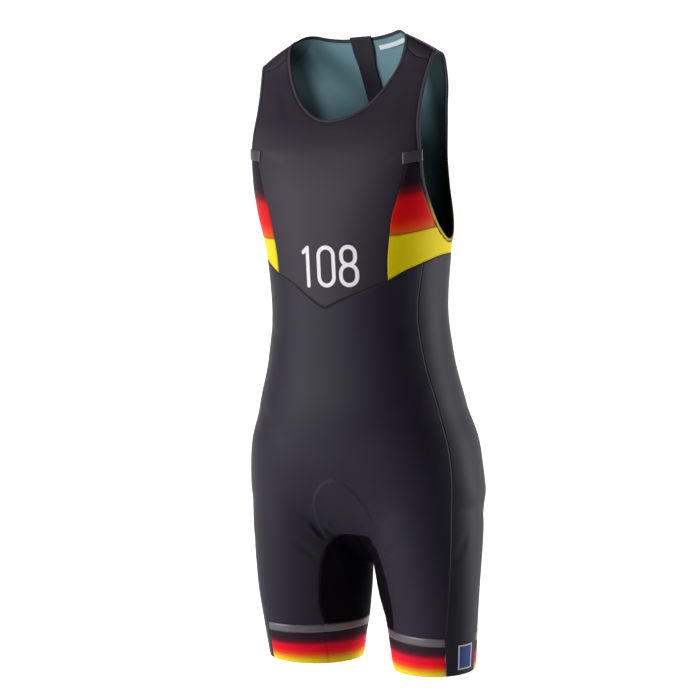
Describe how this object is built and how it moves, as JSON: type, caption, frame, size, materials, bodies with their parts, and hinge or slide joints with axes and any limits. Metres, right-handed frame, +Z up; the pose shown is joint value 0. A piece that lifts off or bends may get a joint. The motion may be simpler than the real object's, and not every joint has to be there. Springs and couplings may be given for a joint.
{
  "type": "triathlon suit",
  "caption": "Sleeveless triathlon suit in its worn shape, empty: scoop neck, zip down the back with a pull tab, pointed waist seam, side panels and leg bands in flag colours, seat pad.",
  "frame": {"origin": "midway between the two shoulder straps, level with the line where a wearer's shoulders carry them", "axes": "+Z up towards the neck, the front faces -Y, +X towards the wearer's left"},
  "size_m": [0.3666, 0.2238, 0.9185],
  "materials": {
    "upper_fabric": "smooth stretch knit, brownish charcoal",
    "lower_fabric": "smooth stretch knit, blue-black charcoal",
    "side_fabric": "printed stretch knit, black to red to orange to gold",
    "band_fabric": "printed ribbed gripper band, black to red to gold",
    "reflective_tape": "grey reflective tape",
    "edge_binding": "matt elastic binding",
    "zip_tape": "woven tape and inner guard, black",
    "zip_metal": "dark coated zinc",
    "badge_print": "heat-set patch, blue with a pale border",
    "label_fabric": "satin label, plain",
    "pad_fabric": "soft pad under brushed knit"
  },
  "bodies": {
    "suit": {"front_upper": "upper_fabric", "back_upper_left": "upper_fabric", "back_upper_right": "upper_fabric", "shoulder_yoke_left": "upper_fabric", "shoulder_yoke_right": "upper_fabric", "front_lower": "lower_fabric", "back_lower": "lower_fabric", "side_lower_left": "lower_fabric", "side_lower_right": "lower_fabric", "inner_leg_left": "lower_fabric", "inner_leg_right": "lower_fabric", "side_upper_left": "side_fabric", "side_upper_right": "side_fabric", "leg_band_front_left": "band_fabric", "leg_band_front_right": "band_fabric", "leg_band_inner_left": "band_fabric", "leg_band_inner_right": "band_fabric", "leg_band_back_left": "band_fabric", "leg_band_back_right": "band_fabric", "leg_tape_front_left": "reflective_tape", "leg_tape_front_right": "reflective_tape", "leg_tape_inner_left": "reflective_tape", "leg_tape_inner_right": "reflective_tape", "leg_tape_back_left": "reflective_tape", "leg_tape_back_right": "reflective_tape", "chest_tab_left": "reflective_tape", "chest_tab_right": "reflective_tape", "neck_binding": "edge_binding", "armhole_binding_left": "edge_binding", "armhole_binding_right": "edge_binding", "zip_tape_left": "zip_tape", "zip_tape_right": "zip_tape", "zip_guard": "zip_tape", "zip_slider": "zip_metal", "leg_badge": "badge_print", "neck_label": "label_fabric", "seat_pad": "pad_fabric"},
    "pull_tab": {"zip_pull_tab": "zip_metal"}
  },
  "joints": [
    {"name": "pull_tab_hinge", "type": "hinge", "parent": "suit", "child": "pull_tab", "pos_m": [0, 0.04245, -0.00096], "axis": [1, 0, 0], "range_deg": [0, 150]}
  ]
}
